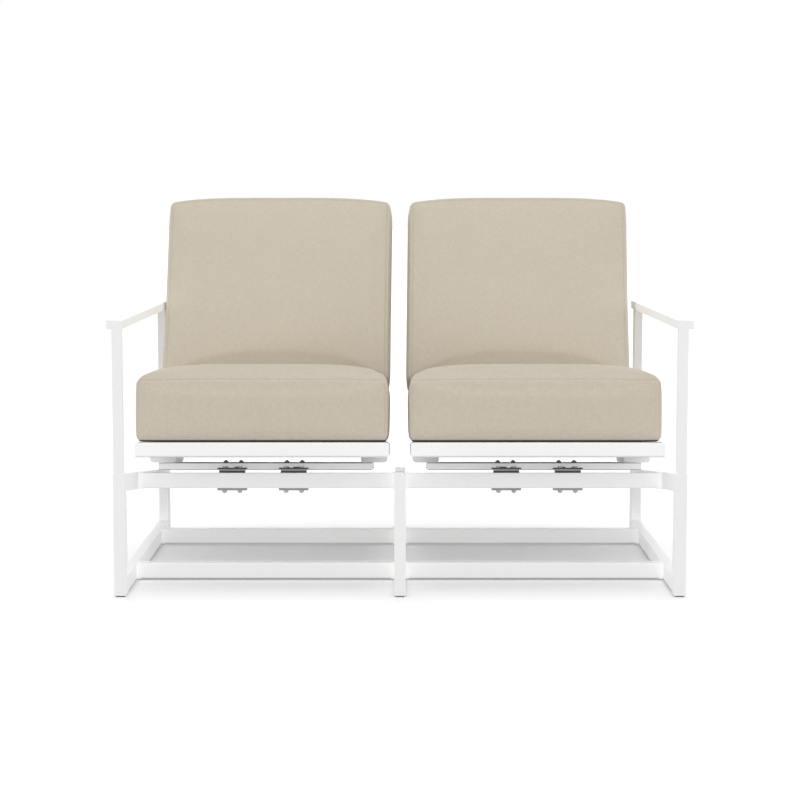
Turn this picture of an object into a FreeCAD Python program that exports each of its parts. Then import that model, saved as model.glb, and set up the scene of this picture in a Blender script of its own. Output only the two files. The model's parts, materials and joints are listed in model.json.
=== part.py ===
"""Two-seat patio rocker: one fixed tube base and two cushioned seats, each rocking on its own leaf springs.

Millimetres and degrees. Seen from the front, X runs to the right, Y to the back and Z up.
The origin is on the floor, in the middle of the overall width and depth.
"""
import FreeCAD
import Part
import math
import os
import re
from types import SimpleNamespace

from FreeCAD import Placement, Rotation, Vector

DIMENSIONS = {
    # Tube sections of the base
    "tube_wall": 2.0,
    "tube_round": 2.0,
    "leg_width": 27.5,
    "leg_depth": 38.0,
    "leg_stub": 2.9,  # leg standing above the sloping rail that meets it
    "post_width": 23.5,
    "post_depth": 26.0,
    "rail_width": 25.5,
    "rail_height": 38.0,
    "upper_rail_height": 41.5,
    "cross_rail_depth": 27.5,
    "socket_length": 9.0,
    "socket_wall": 1.5,
    # Layout of the base
    "base_depth": 876.0,
    "lower_rail_rise": 5.0,
    "front_stretcher_setback": 201.0,
    "rear_stretcher_inset": 126.5,  # in front of the rear legs
    "arm_width": 37.0,
    "arm_height": 21.3,
    "arm_overhang": 19.0,  # past the rear legs
    "arm_top": 650.2,
    "arm_outset": 4.55,  # centre line of the arm outside the centre line of its posts
    "arm_cap": 2.5,
    "glide_height": 3.0,
    "glide_inset": 4.0,
    "plug_length": 12.0,
    "plug_clearance": 0.15,
    # Seat frames, measured along the sloping seat from the lower front edge of its front rail
    "seat_width": 615.0,
    "seat_gap": 54.0,
    "side_clearance": 1.2,
    "seat_setback": 165.0,
    "seat_front_height": 308.3,
    "seat_tilt": 7.3,
    "seat_depth": 650.0,
    "seat_rail_width": 28.0,
    "seat_rail_height": 36.6,
    "seat_rail_round": 6.0,
    # Backs
    "back_recline": 13.6,  # from the normal of the seat
    "back_height": 632.0,
    "rear_reveal": 7.4,
    "upright_inset": 10.0,  # inside the sides of the seat frame
    "upright_width": 28.0,
    "upright_depth": 30.0,
    "back_rail_depth": 25.0,
    "back_rail_height": 32.0,
    "top_rail_drop": 6.0,
    "low_rail_rise": 130.0,
    # Webbing
    "strap_width": 50.0,
    "strap_thickness": 3.2,
    "strap_inset": 5.0,
    "seat_strap_start": 60.0,
    "seat_strap_end": 98.0,
    "back_strap_start": 185.0,
    "back_strap_end": 25.0,
    # Cushions
    "cushion_reveal": 3.15,  # seat frame showing beside its cushion
    "cushion_corner": 24.0,
    "cushion_clearance": 0.3,
    "cushion_back_gap": 2.6,
    "seat_cushion_edge": 152.0,
    "seat_cushion_crown": 48.0,
    "back_cushion_edge": 140.0,
    "back_cushion_crown": 30.0,
    "back_cushion_lift": 2.0,  # above the edge of the seat cushion
    "back_cushion_length": 494.0,
    "left_cushion_shift": 2.0,
    "right_cushion_shift": -12.0,
    # Rocking mechanism under each seat
    "mount_inset": 6.0,
    "mount_reach": 102.25,  # the block ends midway between this and the edge of the pan
    "mount_length": 170.0,
    "mount_height": 14.5,
    "mount_setback": 241.0,
    "mount_round": 7.0,
    "pan_width": 531.5,
    "pan_depth": 288.0,
    "pan_gap": 10.8,  # behind the spring rail
    "pan_thickness": 3.0,
    "pan_lip": 17.4,
    "notch_clearance": 3.0,
    "notch_height": 8.0,
    "spring_spacing": 152.0,
    "spring_outset": 4.1,
    "leaf_edge": 12.5,  # beyond the bolts
    "leaf_waist": 26.0,
    "leaf_thickness": 5.0,
    "leaf_clearance": 0.3,
    "leaf_front_gap": 1.0,
    "leaf_lap": 1.0,  # the lower leg starts this far inside the clamped foot
    "loop_setback": 310.0,
    "loop_radius": 16.0,
    "spring_rail_setback": 93.7,
    "spring_rail_drop": 38.3,
    "clamp_depth": 25.0,
    "clamp_edge": 17.0,
    "spacer_height": 4.0,
    "top_plate_height": 3.5,
    "base_plate_height": 5.5,
    # Fasteners
    "bolt_diameter": 6.0,
    "bolt_clearance": 0.3,
    "bolt_across": 10.0,
    "bolt_spacing": 38.0,
    "bolt_tail": 2.5,
    "clamp_head_height": 4.0,
    "pan_head_height": 3.5,
    "nut_height": 5.0,
    "pan_bolt_setback": 12.0,
}

OVERRUN = 5.0  # how far a cutting body reaches past the faces it opens
EDGE_ANGLE = 18.0  # an edge follows a direction when it turns from it by less than this
X, Y, Z = Vector(1, 0, 0), Vector(0, 1, 0), Vector(0, 0, 1)
LEVEL = Rotation()
PROFILE_TURN = Rotation(Vector(1, 1, 1), 120)  # a solid drawn on end in the side view: its Z becomes X
LEAN_TURN = Rotation(Vector(0, 1, 1), 180)  # a run drawn along Y stands up along Z
SIDES = (("left", -1), ("right", 1))
SEAT_STRAPS = 7
BACK_STRAPS = 6

doc = FreeCAD.newDocument("RockerBench")
sheet = doc.addObject("Spreadsheet::Sheet", "Dims")
for row, (alias, number) in enumerate(DIMENSIONS.items(), start=1):
    sheet.set(f"A{row}", alias)
    sheet.set(f"B{row}", str(number))
    sheet.setAlias(f"B{row}", alias)
doc.recompute()
d = SimpleNamespace(**{alias: float(sheet.get(alias)) for alias in DIMENSIONS})

ALIAS = re.compile(r"[a-z]+(?:_[a-z]+)+")
nodes = []


# Helpers that draw and place

def bind(feature, **formulas):
    """Tie sizes of a feature to formulas written with the aliases of the sheet."""
    for size, formula in formulas.items():
        feature.setExpression(size, ALIAS.sub(r"Dims.\g<0>", formula))
    return feature


def box(length, width, height, at=(0, 0, 0), turn=LEVEL):
    feature = bind(doc.addObject("Part::Box", "Block"), Length=length, Width=width, Height=height)
    feature.Placement = Placement(Vector(*at), turn)
    return feature


def rod(radius, length, at=(0, 0, 0), turn=LEVEL):
    feature = bind(doc.addObject("Part::Cylinder", "Rod"), Radius=radius, Height=length)
    feature.Placement = Placement(Vector(*at), turn)
    return feature


def hexagon(height, at=(0, 0, 0)):
    feature = doc.addObject("Part::Prism", "Hexagon")
    feature.Polygon = 6
    bind(feature, Circumradius="bolt_across / sqrt(3)", Height=height)
    feature.Placement = Placement(Vector(*at), LEVEL)
    return feature


def fuse(*features):
    joined = doc.addObject("Part::MultiFuse", "Joined")
    joined.Shapes = list(features)
    return joined


def cut(base, tool):
    feature = doc.addObject("Part::Cut", "Cut")
    feature.Base = base
    feature.Tool = tool
    return feature


def common(base, tool):
    feature = doc.addObject("Part::Common", "Common")
    feature.Base = base
    feature.Tool = tool
    return feature


def rounded(base, direction, radius, wanted=lambda edge: True):
    """Round the edges that run along a direction."""
    base.recompute(True)
    edges = []
    for number, edge in enumerate(base.Shape.Edges, start=1):
        turn = math.degrees(edge.tangentAt(edge.FirstParameter).getAngle(direction))
        if min(turn, 180 - turn) < EDGE_ANGLE and wanted(edge):
            edges.append((number, radius, radius))
    feature = doc.addObject("Part::Fillet", "Rounded")
    feature.Base = base
    feature.Edges = edges
    return feature


def drilled(base, centres, depth):
    """Drill bolt holes along Z at the given X and Y."""
    tools = [rod("bolt_diameter / 2 + bolt_clearance", f"{depth} + {2 * OVERRUN}", (x, y, -OVERRUN))
             for x, y in centres]
    return cut(base, fuse(*tools))


def tube(sides, axis, closed_end=False):
    """A box section open along one axis; sides are the formulas of its X, Y and Z sizes."""
    outer = rounded(box(*sides), (X, Y, Z)[axis], d.tube_round)
    inner = [f"({side}) - 2 * tube_wall" for side in sides]
    inner[axis] = f"({sides[axis]}) + {OVERRUN}" + (" - tube_wall" if closed_end else f" + {OVERRUN}")
    corner = [d.tube_wall] * 3
    corner[axis] = -OVERRUN
    return cut(outer, box(*inner, at=corner))


def wedge(width, start, end, low, high, low_end, high_end, inset="0"):
    """A section running along Y whose height moves along Z from one end to the other."""
    feature = doc.addObject("Part::Wedge", "Wedge")
    across = f"({width}) - ({inset})"
    bind(feature, Xmin=inset, X2min=inset, Xmax=across, X2max=across, Ymin=start, Ymax=end,
         Zmin=low, Zmax=high, Z2min=low_end, Z2max=high_end)
    return feature


def leaning_tube(width, run, height, slope, closed_end=False):
    """A box section along Y that climbs by the slope, with its ends square to Y."""
    outer = wedge(width, "0", run, "0", height, f"{slope} * ({run})", f"({height}) + {slope} * ({run})")
    ends = (f"{-OVERRUN}", f"({run}) - tube_wall" if closed_end else f"({run}) + {OVERRUN}")
    floors = [f"tube_wall + {slope} * ({end})" for end in ends]
    roofs = [f"({height}) - tube_wall + {slope} * ({end})" for end in ends]
    inner = wedge(width, *ends, floors[0], roofs[0], floors[1], roofs[1], inset="tube_wall")
    return cut(rounded(outer, Y, d.tube_round), inner)


def mitred_rail(length):
    """A seat rail along X, mitred to its neighbours, with its outer face at Y zero."""
    outer = doc.addObject("Part::Wedge", "Mitre")
    bind(outer, Xmin="0", Xmax=length, X2min="seat_rail_width", X2max=f"{length} - seat_rail_width",
         Ymin="0", Ymax="seat_rail_width",
         Zmin="0", Zmax="seat_rail_height", Z2min="0", Z2max="seat_rail_height")
    inner = box(f"{length} + {2 * OVERRUN}", "seat_rail_width - 2 * tube_wall",
                "seat_rail_height - 2 * tube_wall", (-OVERRUN, d.tube_wall, d.tube_wall))
    inner_round = max(d.seat_rail_round - d.tube_wall, d.tube_wall / 4)
    return cut(rounded(outer, X, d.seat_rail_round), rounded(inner, X, inner_round))


def place(feature, frame, at, turn=LEVEL):
    feature.Placement = frame.multiply(Placement(Vector(*at), turn))
    return feature


def node(label, *solids):
    """Name a sub-part; several solids of one kind become one group."""
    feature = solids[0]
    if len(solids) > 1:
        feature = doc.addObject("Part::Compound", "Group")
        feature.Links = list(solids)
    feature.Label = label
    nodes.append(feature)


# Places worked out from the driving dimensions

tilt = math.radians(d.seat_tilt)
recline = math.radians(d.back_recline)
back_setback = d.seat_depth - d.rear_reveal - d.upright_depth
back_length = d.back_height / math.cos(recline)
overall_depth = (d.seat_setback
                 + (back_setback + d.upright_depth + d.back_height * math.tan(recline)) * math.cos(tilt)
                 + (d.seat_rail_height + d.back_height) * math.sin(tilt))
front_y = -overall_depth / 2
base_frame = Placement(Vector(0, front_y, 0), LEVEL)
seat_frame = Placement(Vector(0, front_y + d.seat_setback, d.seat_front_height), Rotation(X, -d.seat_tilt))
back_frame = seat_frame.multiply(Placement(Vector(0, back_setback, d.seat_rail_height),
                                           Rotation(X, -d.back_recline)))

seat_centre = d.seat_gap / 2 + d.seat_width / 2
frame_x = d.seat_gap / 2 + d.seat_width + d.side_clearance + d.leg_width / 2
bay_start = d.rail_width / 2
BAY = "seat_gap / 2 + seat_width + side_clearance + leg_width / 2 - rail_width"
rear_leg_front = d.base_depth - d.leg_depth
SIDE_RUN = "base_depth - 2 * leg_depth"
rail_middle_w = -d.spring_rail_drop - d.rail_height / 2
arm_underside = d.arm_top - d.arm_height
cushion_width = d.seat_width - 2 * d.cushion_reveal
CUSHION_WIDTH = "seat_width - 2 * cushion_reveal"
leaf_width = d.bolt_spacing + 2 * d.leaf_edge
LEAF_WIDTH = "bolt_spacing + 2 * leaf_edge"
clamp_width = d.bolt_spacing + 2 * d.clamp_edge
CLAMP_WIDTH = "bolt_spacing + 2 * clamp_edge"
pan_setback = d.spring_rail_setback + d.cross_rail_depth + d.pan_gap
pan_inset = (d.seat_width - d.pan_width) / 2
mount_width = (pan_inset + d.mount_reach) / 2 - d.mount_inset
MOUNT_WIDTH = "(seat_width - pan_width) / 4 + mount_reach / 2 - mount_inset"


def upper_rail_bottom(depth):
    """Height of the sloping rails' lower edge at a distance behind the front legs' front faces."""
    middle = (d.seat_front_height + rail_middle_w / math.cos(tilt)
              - (depth - d.seat_setback) * math.tan(tilt))
    return middle - d.upper_rail_height / 2


front_leg_top = upper_rail_bottom(d.leg_depth) + d.upper_rail_height + d.leg_stub
rear_leg_top = upper_rail_bottom(rear_leg_front) + d.upper_rail_height + d.leg_stub
UPPER_MIDDLE = "seat_front_height - (spring_rail_drop + rail_height / 2) / cos(seat_tilt)"
FRONT_LEG_TOP = (f"({UPPER_MIDDLE} + (seat_setback - leg_depth) * tan(seat_tilt)"
                 " + upper_rail_height / 2 + leg_stub)")
REAR_LEG_TOP = (f"({UPPER_MIDDLE} + (seat_setback + leg_depth - base_depth) * tan(seat_tilt)"
                " + upper_rail_height / 2 + leg_stub)")
ARM_UNDERSIDE = "(arm_top - arm_height)"
ENDS = (("front", 0.0, front_leg_top, FRONT_LEG_TOP), ("rear", rear_leg_front, rear_leg_top, REAR_LEG_TOP))


# Base: legs, posts and arms

def legs():
    glides = []
    for end, depth, top, top_formula in ENDS:
        for name, side in (*SIDES, ("centre", 0)):
            x = side * frame_x
            leg = tube(("leg_width", "leg_depth", f"{top_formula} - glide_height"), 2, closed_end=True)
            node(f"{name}_{end}_leg", place(leg, base_frame, (x - d.leg_width / 2, depth, d.glide_height)))
            glides.append(place(glide(), base_frame, (x, depth + d.leg_depth / 2, 0)))
    node("foot_glides", *glides)


def glide():
    """A floor pad with a plug that fills the leg's open lower end."""
    pad = box("leg_width - 2 * glide_inset", "leg_depth - 2 * glide_inset", "glide_height",
              (d.glide_inset - d.leg_width / 2, d.glide_inset - d.leg_depth / 2, 0))
    gap = d.tube_wall + d.plug_clearance
    plug = box("leg_width - 2 * (tube_wall + plug_clearance)", "leg_depth - 2 * (tube_wall + plug_clearance)",
               "plug_length", (gap - d.leg_width / 2, gap - d.leg_depth / 2, d.glide_height))
    return fuse(pad, plug)


def arm_posts():
    for end, depth, top, top_formula in ENDS:
        for name, side in SIDES:
            post = tube(("post_width", "post_depth", f"{ARM_UNDERSIDE} - {top_formula}"), 2)
            node(f"{name}_{end}_arm_post",
                 place(post, base_frame, (side * frame_x - d.post_width / 2, depth, top)))


def arms():
    arm_end = d.base_depth + d.arm_overhang
    caps = []
    for name, side in SIDES:
        x = side * (frame_x + d.arm_outset) - d.arm_width / 2
        arm = tube(("arm_width", "base_depth + arm_overhang - 2 * arm_cap", "arm_height"), 1)
        node(f"{name}_arm", place(arm, base_frame, (x, d.arm_cap, arm_underside)))
        for cap_x, depth, turn in ((x, 0, LEVEL), (x + d.arm_width, arm_end, Rotation(Z, 180))):
            caps.append(place(arm_cap(), base_frame, (cap_x, depth, arm_underside), turn))
    node("arm_end_caps", *caps)


def arm_cap():
    """A flush end plate with a plug inside the arm."""
    plate = rounded(box("arm_width", "arm_cap", "arm_height"), Y, d.tube_round)
    gap = d.tube_wall + d.plug_clearance
    plug = box("arm_width - 2 * (tube_wall + plug_clearance)", "plug_length",
               "arm_height - 2 * (tube_wall + plug_clearance)", (gap, d.arm_cap, gap))
    return fuse(plate, plug)


# Base: rails

def side_rails():
    for name, side in (*SIDES, ("centre", 0)):
        x = side * frame_x - d.rail_width / 2
        upper = leaning_tube("rail_width", SIDE_RUN, "upper_rail_height", "-tan(seat_tilt)")
        node(f"{name}_upper_rail", place(upper, base_frame, (x, d.leg_depth, upper_rail_bottom(d.leg_depth))))
        lower = tube(("rail_width", SIDE_RUN, "rail_height"), 1)
        node(f"{name}_lower_rail", place(lower, base_frame, (x, d.leg_depth, d.lower_rail_rise)))


def cross_rails():
    """Rails across each bay, with a short socket at each end."""
    rear_stretcher_front = rear_leg_front - d.rear_stretcher_inset - d.cross_rail_depth
    runs = (
        ("spring_rail", seat_frame, d.spring_rail_setback, -d.spring_rail_drop - d.rail_height),
        ("front_stretcher", base_frame, d.front_stretcher_setback, d.lower_rail_rise),
        ("rear_stretcher", base_frame, rear_stretcher_front, d.lower_rail_rise),
    )
    sockets = []
    bay = frame_x - d.rail_width
    for name, side in SIDES:
        left_end = side * (bay_start + bay / 2) - bay / 2
        for kind, frame, depth, height in runs:
            rail = tube((BAY, "cross_rail_depth", "rail_height"), 0)
            if kind == "spring_rail":
                holes = [(x - left_end, d.cross_rail_depth / 2) for x in bolt_places(side)]
                rail = drilled(rail, holes, "rail_height")
            node(f"{name}_{kind}", place(rail, frame, (left_end, depth, height)))
            for x in (left_end, left_end + bay - d.socket_length):
                sockets.append(place(socket(), frame, (x, depth - d.socket_wall, height - d.socket_wall)))
    node("rail_sockets", *sockets)


def socket():
    band = box("socket_length", "cross_rail_depth + 2 * socket_wall", "rail_height + 2 * socket_wall")
    opening = box(f"socket_length + {2 * OVERRUN}", "cross_rail_depth", "rail_height",
                  (-OVERRUN, d.socket_wall, d.socket_wall))
    return cut(band, opening)


# Springs and their clamps

def spring_centres(side):
    middle = side * (seat_centre + d.spring_outset)
    return [middle - d.spring_spacing / 2, middle + d.spring_spacing / 2]


def bolt_places(side):
    return [x + step * d.bolt_spacing / 2 for x in spring_centres(side) for step in (-1, 1)]


def through_bolt(grip, head_height):
    """A hex bolt with its head below Z zero and its nut seated at the top of the grip."""
    head = hexagon(head_height, (0, 0, -getattr(d, head_height)))
    shank = rod("bolt_diameter / 2", f"{grip} + nut_height + bolt_tail")
    return fuse(head, shank)


def nut():
    return cut(hexagon("nut_height"),
               rod("bolt_diameter / 2 + bolt_clearance / 2", f"nut_height + {2 * OVERRUN}", (0, 0, -OVERRUN)))


def clamps():
    """Each spring is held on its rail between plates by two bolts."""
    groups = {"clamp_spacers": [], "clamp_top_plates": [], "clamp_base_plates": [],
              "clamp_bolts": [], "clamp_nuts": []}
    middle = d.spring_rail_setback + d.cross_rail_depth / 2
    front = middle - d.clamp_depth / 2
    leaf_top = -d.spring_rail_drop + d.leaf_thickness
    under = -d.spring_rail_drop - d.rail_height - d.base_plate_height
    top = leaf_top + d.spacer_height + d.top_plate_height
    layers = (
        ("clamp_spacers", LEAF_WIDTH, leaf_width, "spacer_height", leaf_top),
        ("clamp_top_plates", CLAMP_WIDTH, clamp_width, "top_plate_height", leaf_top + d.spacer_height),
        ("clamp_base_plates", CLAMP_WIDTH, clamp_width, "base_plate_height", under),
    )
    grip = "top_plate_height + spacer_height + leaf_thickness + rail_height + base_plate_height"
    for _, side in SIDES:
        for centre in spring_centres(side):
            for group, width_formula, width, height_formula, w in layers:
                holes = [(width / 2 + step * d.bolt_spacing / 2, d.clamp_depth / 2) for step in (-1, 1)]
                plate = drilled(box(width_formula, "clamp_depth", height_formula), holes, height_formula)
                groups[group].append(place(plate, seat_frame, (centre - width / 2, front, w)))
        for x in bolt_places(side):
            bolt = through_bolt(grip, "clamp_head_height")
            groups["clamp_bolts"].append(place(bolt, seat_frame, (x, middle, top), Rotation(X, 180)))
            groups["clamp_nuts"].append(place(nut(), seat_frame, (x, middle, under), Rotation(X, 180)))
    for label, solids in groups.items():
        node(label, *solids)


def springs():
    for name, side in SIDES:
        starts = [x - leaf_width / 2 for x in spring_centres(side)]
        node(f"{name}_springs", *(place(leaf_spring(), seat_frame, (x, 0, 0)) for x in starts))


def leaf_spring():
    """A hairpin leaf: wide at its clamped foot and at its bolted tip under the pan, slim in between."""
    half = d.leaf_thickness / 2
    foot_end = d.spring_rail_setback + d.cross_rail_depth
    upper_w = -(d.mount_height + d.pan_thickness + d.leaf_clearance + half)
    loop_w = upper_w - d.loop_radius
    foot_w = -d.spring_rail_drop + half
    across = d.loop_setback - foot_end
    fall = foot_w - loop_w
    slim = (leaf_width - d.leaf_waist) / 2
    slope = math.atan2(fall, across) + math.asin(d.loop_radius / math.hypot(across, fall))
    ACROSS = "(loop_setback - spring_rail_setback - cross_rail_depth)"
    FALL = ("(mount_height + pan_thickness + leaf_clearance + leaf_thickness + loop_radius"
            " - spring_rail_drop)")
    foot = box(LEAF_WIDTH, "cross_rail_depth", "leaf_thickness", (0, d.spring_rail_setback, foot_w - half))
    lower_start = (slim, foot_end - d.leaf_lap * math.cos(slope) - half * math.sin(slope),
                   foot_w + d.leaf_lap * math.sin(slope) - half * math.cos(slope))
    lower = box("leaf_waist", f"sqrt({ACROSS}^2 + {FALL}^2 - loop_radius^2) + leaf_lap", "leaf_thickness",
                lower_start, Rotation(X, -math.degrees(slope)))
    turn = Rotation(X, -90 - math.degrees(slope)).multiply(PROFILE_TURN)
    outer = rod("loop_radius + leaf_thickness / 2", "leaf_waist", (slim, d.loop_setback, loop_w), turn)
    outer.Angle = 180 + math.degrees(slope)
    inner = rod("loop_radius - leaf_thickness / 2", "leaf_waist", (slim, d.loop_setback, loop_w), turn)
    front = pan_setback + d.pan_thickness + d.leaf_front_gap
    upper = box("leaf_waist", f"{ACROSS} - pan_gap - pan_thickness - leaf_front_gap", "leaf_thickness",
                (slim, front, upper_w - half))
    tip = box(LEAF_WIDTH, "2 * (pan_bolt_setback - pan_thickness - leaf_front_gap)", "leaf_thickness",
              (0, front, upper_w - half))
    leaf = fuse(foot, lower, cut(outer, inner), upper, tip)
    holes = []
    for step in (-1, 1):
        x = leaf_width / 2 + step * d.bolt_spacing / 2
        for y, w in ((d.spring_rail_setback + d.cross_rail_depth / 2, foot_w),
                     (pan_setback + d.pan_bolt_setback, upper_w)):
            holes.append(rod("bolt_diameter / 2 + bolt_clearance", "2 * leaf_thickness",
                             (x, y, w - d.leaf_thickness)))
    return cut(leaf, fuse(*holes))


# Seats

def seat_frames():
    for name, side in SIDES:
        left = side * seat_centre - d.seat_width / 2
        right = left + d.seat_width
        front = place(mitred_rail("seat_width"), seat_frame, (left, 0, 0))
        rear = place(mitred_rail("seat_width"), seat_frame, (right, d.seat_depth, 0), Rotation(Z, 180))
        node(f"{name}_seat_front_rail", front)
        node(f"{name}_seat_rear_rail", rear)
        node(f"{name}_seat_side_rails",
             place(mitred_rail("seat_depth"), seat_frame, (left, d.seat_depth, 0), Rotation(Z, -90)),
             place(mitred_rail("seat_depth"), seat_frame, (right, 0, 0), Rotation(Z, 90)))


def back_frames():
    inner = "seat_width - 2 * (upright_inset + upright_width)"
    for name, side in SIDES:
        left = side * seat_centre - d.seat_width / 2 + d.upright_inset
        uprights = []
        for x in (left + d.upright_width, left + d.seat_width - 2 * d.upright_inset):
            upright = leaning_tube("upright_width", "back_height", "upright_depth", "tan(back_recline)", True)
            uprights.append(place(upright, seat_frame, (x, back_setback, d.seat_rail_height), LEAN_TURN))
        node(f"{name}_back_uprights", *uprights)
        rails = []
        for v in (d.low_rail_rise, back_length - d.top_rail_drop - d.back_rail_height):
            rail = tube((inner, "back_rail_depth", "back_rail_height"), 0)
            rails.append(place(rail, back_frame, (left + d.upright_width, 0, v)))
        node(f"{name}_back_rails", *rails)


def evenly(first, last, count):
    return [first + (last - first) * number / (count - 1) for number in range(count)]


def webbing():
    """Elastic straps from side to side, over the seat's side rails and in front of the uprights."""
    for name, side in SIDES:
        left = side * seat_centre - d.seat_width / 2
        seat_straps = []
        for u in evenly(d.seat_strap_start, d.seat_depth - d.seat_strap_end, SEAT_STRAPS):
            strap = box("seat_width - 2 * strap_inset", "strap_width", "strap_thickness")
            corner = (left + d.strap_inset, u - d.strap_width / 2, d.seat_rail_height)
            seat_straps.append(place(strap, seat_frame, corner))
        node(f"{name}_seat_straps", *seat_straps)
        back_straps = []
        for v in evenly(d.back_strap_start, back_length - d.back_strap_end - d.strap_width, BACK_STRAPS):
            strap = box("seat_width - 2 * (upright_inset + strap_inset)", "strap_thickness", "strap_width")
            corner = (left + d.upright_inset + d.strap_inset, -d.strap_thickness, v)
            back_straps.append(place(strap, back_frame, corner))
        node(f"{name}_back_straps", *back_straps)


def seat_mounts():
    """Blocks under the side rails that carry the pan, and the bolts through it."""
    for name, side in SIDES:
        left = side * seat_centre - d.seat_width / 2
        right = left + d.seat_width
        bolt_inset = (pan_inset + d.mount_inset + mount_width) / 2
        mounts = []
        bolts = []
        for edge, inward in ((left, 1), (right, -1)):
            block = box(MOUNT_WIDTH, "mount_length", "mount_height")
            low = rounded(block, Y, d.mount_round, lambda edge: edge.CenterOfMass.z < d.mount_height / 2)
            hole_x = mount_width / 2 + inward * (bolt_inset - d.mount_inset - mount_width / 2)
            hole_y = [share * d.mount_length for share in (0.25, 0.75)]
            block = drilled(low, [(hole_x, y) for y in hole_y], "mount_height")
            x = edge + inward * (d.mount_inset + mount_width / 2) - mount_width / 2
            mounts.append(place(block, seat_frame, (x, d.mount_setback, -d.mount_height)))
            bolts += [(x + hole_x, d.mount_setback + y) for y in hole_y]
        node(f"{name}_seat_mounts", *mounts)
        pan(name, left + pan_inset, side, bolts)


def pan(name, left, side, mount_bolts):
    """The rocker pan: a plate with turned-down lips, notched over the springs."""
    front = pan_setback
    web_bottom = d.pan_lip - d.pan_thickness
    pieces = [box("pan_width", "pan_depth", "pan_thickness", (0, 0, web_bottom))]
    for y in (0, d.pan_depth - d.pan_thickness):
        pieces.append(box("pan_width", "pan_thickness", "pan_lip", (0, y, 0)))
    notches = []
    for x in spring_centres(side):
        start = x - left - d.leaf_waist / 2 - d.notch_clearance
        notches.append(box("leaf_waist + 2 * notch_clearance", f"pan_thickness + {2 * OVERRUN}",
                           f"notch_height + {OVERRUN}", (start, -OVERRUN, -OVERRUN)))
    spring_bolts = [(x, front + d.pan_bolt_setback) for x in bolt_places(side)]
    holes = [(x - left, y - front) for x, y in spring_bolts + mount_bolts]
    plate = drilled(cut(fuse(*pieces), fuse(*notches)), holes, "pan_lip")
    top = -d.mount_height
    node(f"{name}_rocker_pan", place(plate, seat_frame, (left, front, top - d.pan_lip)))
    fasteners = []
    web = top - d.pan_thickness
    leaf_grip = "pan_thickness + leaf_thickness + 2 * leaf_clearance"
    leaf_bottom = web - d.leaf_thickness - 2 * d.leaf_clearance
    for places, grip, head_face, nut_face in (
        (spring_bolts, leaf_grip, leaf_bottom, top),
        (mount_bolts, "pan_thickness + mount_height", web, 0),
    ):
        for x, y in places:
            bolt = through_bolt(grip, "pan_head_height")
            fasteners.append(place(bolt, seat_frame, (x, y, head_face)))
            fasteners.append(place(nut(), seat_frame, (x, y, nut_face)))
    node(f"{name}_pan_bolts", *fasteners)


# Cushions, as plain padded blocks

def crowned_block(depth, edge, crown):
    """A block with rounded corners whose top swells by the crown in both directions."""
    block = rounded(box(CUSHION_WIDTH, depth, f"{edge} + {crown}"), Z, d.cushion_corner)
    for span, along in ((CUSHION_WIDTH, Y), (depth, X)):
        half = f"(({span}) / 2)"
        radius = f"({half}^2 + {crown}^2) / (2 * {crown})"
        length = depth if along == Y else CUSHION_WIDTH
        turn = Rotation(X, -90) if along == Y else Rotation(Y, 90)
        barrel = rod(radius, length, (0, 0, 0), turn)
        middle = (f"{half}", "0") if along == Y else ("0", f"{half}")
        bind(barrel, **{"Placement.Base.x": middle[0], "Placement.Base.y": middle[1],
                        "Placement.Base.z": f"{edge} + {crown} - {radius}"})
        block = common(block, barrel)
    return block


def cushions():
    seat_depth = "seat_depth - rear_reveal - upright_depth - cushion_back_gap"
    bed = d.strap_thickness + d.cushion_clearance
    rise = (bed + d.seat_cushion_edge) / math.cos(recline) + d.back_cushion_lift
    for (name, side), shift in zip(SIDES, (d.left_cushion_shift, d.right_cushion_shift)):
        left = side * seat_centre + shift - cushion_width / 2
        seat = crowned_block(seat_depth, "seat_cushion_edge", "seat_cushion_crown")
        node(f"{name}_seat_cushion", place(seat, seat_frame, (left, 0, d.seat_rail_height + bed)))
        back = crowned_block("back_cushion_length", "back_cushion_edge", "back_cushion_crown")
        node(f"{name}_back_cushion", place(back, back_frame, (left, -bed, rise), Rotation(X, 90)))


def write_parts():
    """Stop on any failed feature, then write each sub-part."""
    doc.recompute()
    failed = [feature.Label for feature in doc.Objects if {"Invalid", "Error"} & set(feature.State)]
    failed += [feature.Label for feature in nodes if feature.Shape.isNull() or not feature.Shape.isValid()]
    if failed:
        raise RuntimeError("failed: " + ", ".join(failed))
    os.makedirs("parts", exist_ok=True)
    for feature in nodes:
        feature.Shape.exportStep(f"parts/{feature.Label}.step")


legs()
arm_posts()
arms()
side_rails()
cross_rails()
clamps()
springs()
seat_frames()
back_frames()
webbing()
seat_mounts()
cushions()
write_parts()
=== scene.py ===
"""Looks of the two-seat patio rocker: cushions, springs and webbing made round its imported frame.

Laid out as an add-on and run as a script. Metres, with X to the right, Y to the back and Z up.
"""
import json
import math
from collections import namedtuple

import bmesh
import bpy
import numpy as np
from bpy.props import FloatProperty, FloatVectorProperty, IntProperty, PointerProperty
from mathutils import Matrix, Vector

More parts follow.
